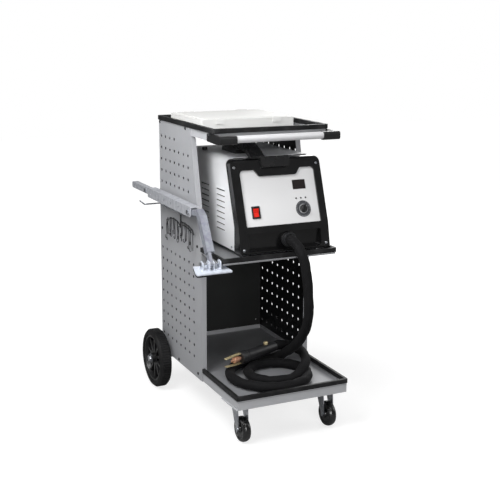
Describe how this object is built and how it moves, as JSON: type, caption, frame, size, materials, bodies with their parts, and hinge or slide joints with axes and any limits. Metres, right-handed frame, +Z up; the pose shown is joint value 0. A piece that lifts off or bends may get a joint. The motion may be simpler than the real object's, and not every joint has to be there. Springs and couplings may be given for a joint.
{
  "type": "stud welder on trolley",
  "caption": "Perforated-panel trolley with trays, push handle, wheels and swivel casters, carrying a spot welder with cable and gun, a compartment box and a hanging puller lever.",
  "frame": {"origin": "centre of the footprint's bounding box, on the floor", "axes": "+Z up, front of the trolley towards -Y, its right side towards +X"},
  "size_m": [0.5034, 0.7534, 0.9025],
  "materials": {
    "panel_paint": "silver-grey fine textured paint",
    "tray_paint": "smooth light grey paint",
    "trim_rubber": "matte",
    "handle_aluminium": "satin anodised",
    "black_moulding": "satin",
    "bezel_gloss": "gloss",
    "zinc_steel": "bright zinc plated",
    "tyre_rubber": "matte",
    "caster_rubber": "matte",
    "case_paint": "light grey powder coat",
    "pan_steel": "grey paint",
    "fascia_white": "satin",
    "display_tint": "gloss dark red tint",
    "lamp_lens": "gloss",
    "rocker_red": "gloss",
    "cable_sleeve": "woven sleeve",
    "gun_black": "matte",
    "brass": "bright",
    "copper": "copper, satin",
    "core_steel": "varnished laminations and windings",
    "board_green": "satin",
    "clear_plastic": "frosted clear plastic",
    "lever_paint": "zinc grey",
    "black_steel": "black phosphate"
  },
  "bodies": {
    "trolley": {"side_panel_left": "panel_paint", "side_panel_right": "panel_paint", "back_panel": "panel_paint", "lower_tray": "tray_paint", "mid_shelf": "tray_paint", "top_tray": "tray_paint", "lower_tray_trim": "trim_rubber", "mid_shelf_trim": "trim_rubber", "top_tray_trim": "trim_rubber", "push_handle": "handle_aluminium", "handle_brackets": "black_moulding", "trolley_screws": "zinc_steel", "rear_axle": "zinc_steel", "axle_brackets": "black_steel", "axle_caps": "zinc_steel", "caster_plates": "black_steel", "welder_base": "pan_steel", "rubber_feet": "trim_rubber", "welder_cover": "case_paint", "front_bezel": "bezel_gloss", "rear_panel": "pan_steel", "control_panel": "fascia_white", "display_window": "display_tint", "indicator_lamps": "lamp_lens", "switch_frame": "black_moulding", "carry_handle": "black_moulding", "welder_screws": "zinc_steel", "cable_outlet": "black_steel", "mains_gland": "black_moulding", "transformer": "core_steel", "control_board": "board_green", "fan_frame": "black_moulding", "cable_drop": "cable_sleeve", "cable_coil": "cable_sleeve", "cable_tail": "cable_sleeve", "gun_body": "gun_black", "gun_prongs": "brass", "gun_electrode": "copper", "box_base": "clear_plastic", "lever_bar": "lever_paint", "leg_bolt": "zinc_steel", "peg_hooks": "zinc_steel", "claw_puller": "black_steel"},
    "rear_wheel_left": {"rear_hub_left": "black_moulding", "rear_tyre_left": "tyre_rubber"},
    "rear_wheel_right": {"rear_hub_right": "black_moulding", "rear_tyre_right": "tyre_rubber"},
    "caster_left": {"caster_fork_left": "zinc_steel"},
    "caster_left_wheel": {"caster_wheel_left": "caster_rubber"},
    "caster_right": {"caster_fork_right": "zinc_steel"},
    "caster_right_wheel": {"caster_wheel_right": "caster_rubber"},
    "knob": {"dial_knob": "black_moulding"},
    "rocker": {"switch_rocker": "rocker_red"},
    "fan": {"fan_rotor": "black_moulding"},
    "button": {"gun_button": "brass"},
    "lid": {"box_lid": "clear_plastic"},
    "leg": {"lever_leg": "lever_paint"},
    "foot": {"foot_plate": "lever_paint", "foot_pad": "trim_rubber", "foot_pin": "zinc_steel"}
  },
  "joints": [
    {"name": "rear_wheel_left_spin", "type": "hinge", "parent": "trolley", "child": "rear_wheel_left", "pos_m": [-0.19575, 0.19775, 0.096], "axis": [1, 0, 0], "continuous": true},
    {"name": "rear_wheel_right_spin", "type": "hinge", "parent": "trolley", "child": "rear_wheel_right", "pos_m": [0.22325, 0.19775, 0.096], "axis": [1, 0, 0], "continuous": true},
    {"name": "caster_left_swivel", "type": "hinge", "parent": "trolley", "child": "caster_left", "pos_m": [-0.12625, -0.30425, 0.108], "axis": [0, 0, 1], "continuous": true},
    {"name": "caster_left_spin", "type": "hinge", "parent": "caster_left", "child": "caster_left_wheel", "pos_m": [-0.12625, -0.32625, 0.0375], "axis": [1, 0, 0], "continuous": true},
    {"name": "caster_right_swivel", "type": "hinge", "parent": "trolley", "child": "caster_right", "pos_m": [0.15375, -0.30425, 0.108], "axis": [0, 0, 1], "continuous": true},
    {"name": "caster_right_spin", "type": "hinge", "parent": "caster_right", "child": "caster_right_wheel", "pos_m": [0.15375, -0.32625, 0.0375], "axis": [1, 0, 0], "continuous": true},
    {"name": "dial_turn", "type": "hinge", "parent": "trolley", "child": "knob", "pos_m": [0.11375, -0.22708, 0.64666], "axis": [0, -0.9412, 0.3379], "range_deg": [-135, 135]},
    {"name": "switch_tip", "type": "hinge", "parent": "trolley", "child": "rocker", "pos_m": [-0.04025, -0.22237, 0.64497], "axis": [1, 0, 0], "range_deg": [-14, 0]},
    {"name": "fan_spin", "type": "hinge", "parent": "trolley", "child": "fan", "pos_m": [-0.00825, 0.12175, 0.681], "axis": [0, 1, 0], "continuous": true},
    {"name": "button_press", "type": "slide", "parent": "trolley", "child": "button", "axis": [0.0248, 0.0084, -0.9997], "range_m": [0, 0.003], "stiffness_N_per_m": 300, "springref_m": -0.001},
    {"name": "lid_hinge", "type": "hinge", "parent": "trolley", "child": "lid", "pos_m": [0.00575, 0.17525, 0.8995], "axis": [-1, 0, 0], "range_deg": [0, 105]},
    {"name": "leg_pivot", "type": "hinge", "parent": "trolley", "child": "leg", "pos_m": [-0.19625, -0.13025, 0.645], "axis": [1, 0, 0], "range_deg": [0, 14]},
    {"name": "foot_pivot", "type": "hinge", "parent": "leg", "child": "foot", "pos_m": [-0.19825, -0.271, 0.52309], "axis": [1, 0, 0], "range_deg": [-20, 5]}
  ]
}
